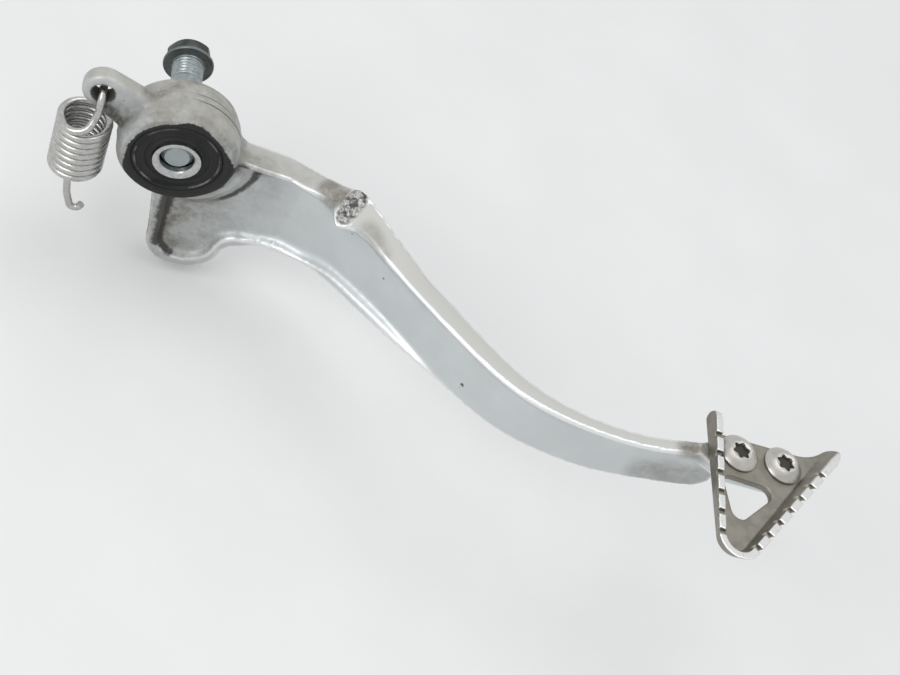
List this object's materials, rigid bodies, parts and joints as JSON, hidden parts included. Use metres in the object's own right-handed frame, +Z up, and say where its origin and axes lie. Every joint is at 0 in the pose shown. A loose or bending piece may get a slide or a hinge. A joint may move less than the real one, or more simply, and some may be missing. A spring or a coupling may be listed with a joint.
{
  "type": "rear brake pedal",
  "caption": "Motorbike rear brake pedal: curved forged arm on a sealed pivot with its bolt, toothed step plate, pushrod lobe and a loose return spring.",
  "frame": {"origin": "on the pivot axis, at the middle of the pivot sleeve", "axes": "+X forward to the step, +Y inboard along the pivot axis towards the bolt's head, +Z up with the step level"},
  "size_m": [0.2536, 0.157, 0.0752],
  "materials": {
    "forged_alloy": "satin, worn and dirty by the hub",
    "sleeve_steel": "bright turned",
    "seal_rubber": "greasy black",
    "bearing_steel": "ground",
    "bolt_steel": "dull zinc",
    "step_steel": "satin, bright on the teeth",
    "screw_steel": "satin stainless",
    "spring_wire": "drawn wire"
  },
  "bodies": {
    "pivot": {"pivot_sleeve": "sleeve_steel", "pivot_bolt": "bolt_steel"},
    "pedal": {"arm": "forged_alloy", "outer_seal": "seal_rubber", "inner_seal": "seal_rubber", "bearing_cup": "bearing_steel", "needle_rollers": "bearing_steel", "step": "step_steel", "step_screws": "screw_steel"},
    "return_spring": {"return_spring": "spring_wire"}
  },
  "joints": [
    {"name": "pedal_pivot", "type": "hinge", "parent": "pivot", "child": "pedal", "pos_m": [0, 0, 0], "axis": [0, 1, 0], "range_deg": [0, 18], "stiffness_Nm_per_rad": 3, "springref_deg": -17.19},
    {"name": "spring_swing", "type": "hinge", "parent": "pedal", "child": "return_spring", "pos_m": [-0.0276, 0, 0.0115], "axis": [0, 1, 0], "range_deg": [-4, 25]}
  ]
}
